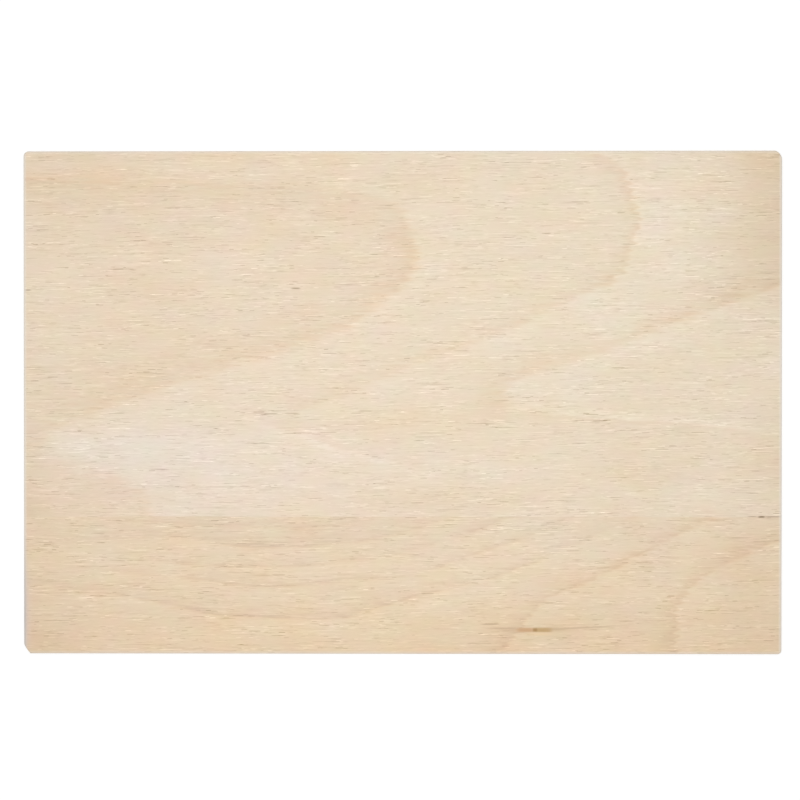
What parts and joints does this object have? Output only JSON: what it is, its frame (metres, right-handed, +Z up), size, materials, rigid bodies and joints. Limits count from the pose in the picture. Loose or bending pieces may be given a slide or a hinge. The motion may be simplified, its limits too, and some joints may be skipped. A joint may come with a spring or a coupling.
{
  "type": "plywood sheet",
  "caption": "Flat rectangular sheet of sanded hardwood plywood with rounded corners and eased edges, raw stock for sawing, gluing and finishing.",
  "frame": {"origin": "middle of the underside, on the surface that the sheet lies on", "axes": "+X along the length and the face grain, +Y across the width, +Z up out of the face veneer"},
  "size_m": [0.3, 0.199, 0.004],
  "materials": {
    "plywood": "sanded bare veneer, matt"
  },
  "bodies": {
    "root": {"plywood_sheet": "plywood"}
  },
  "joints": []
}
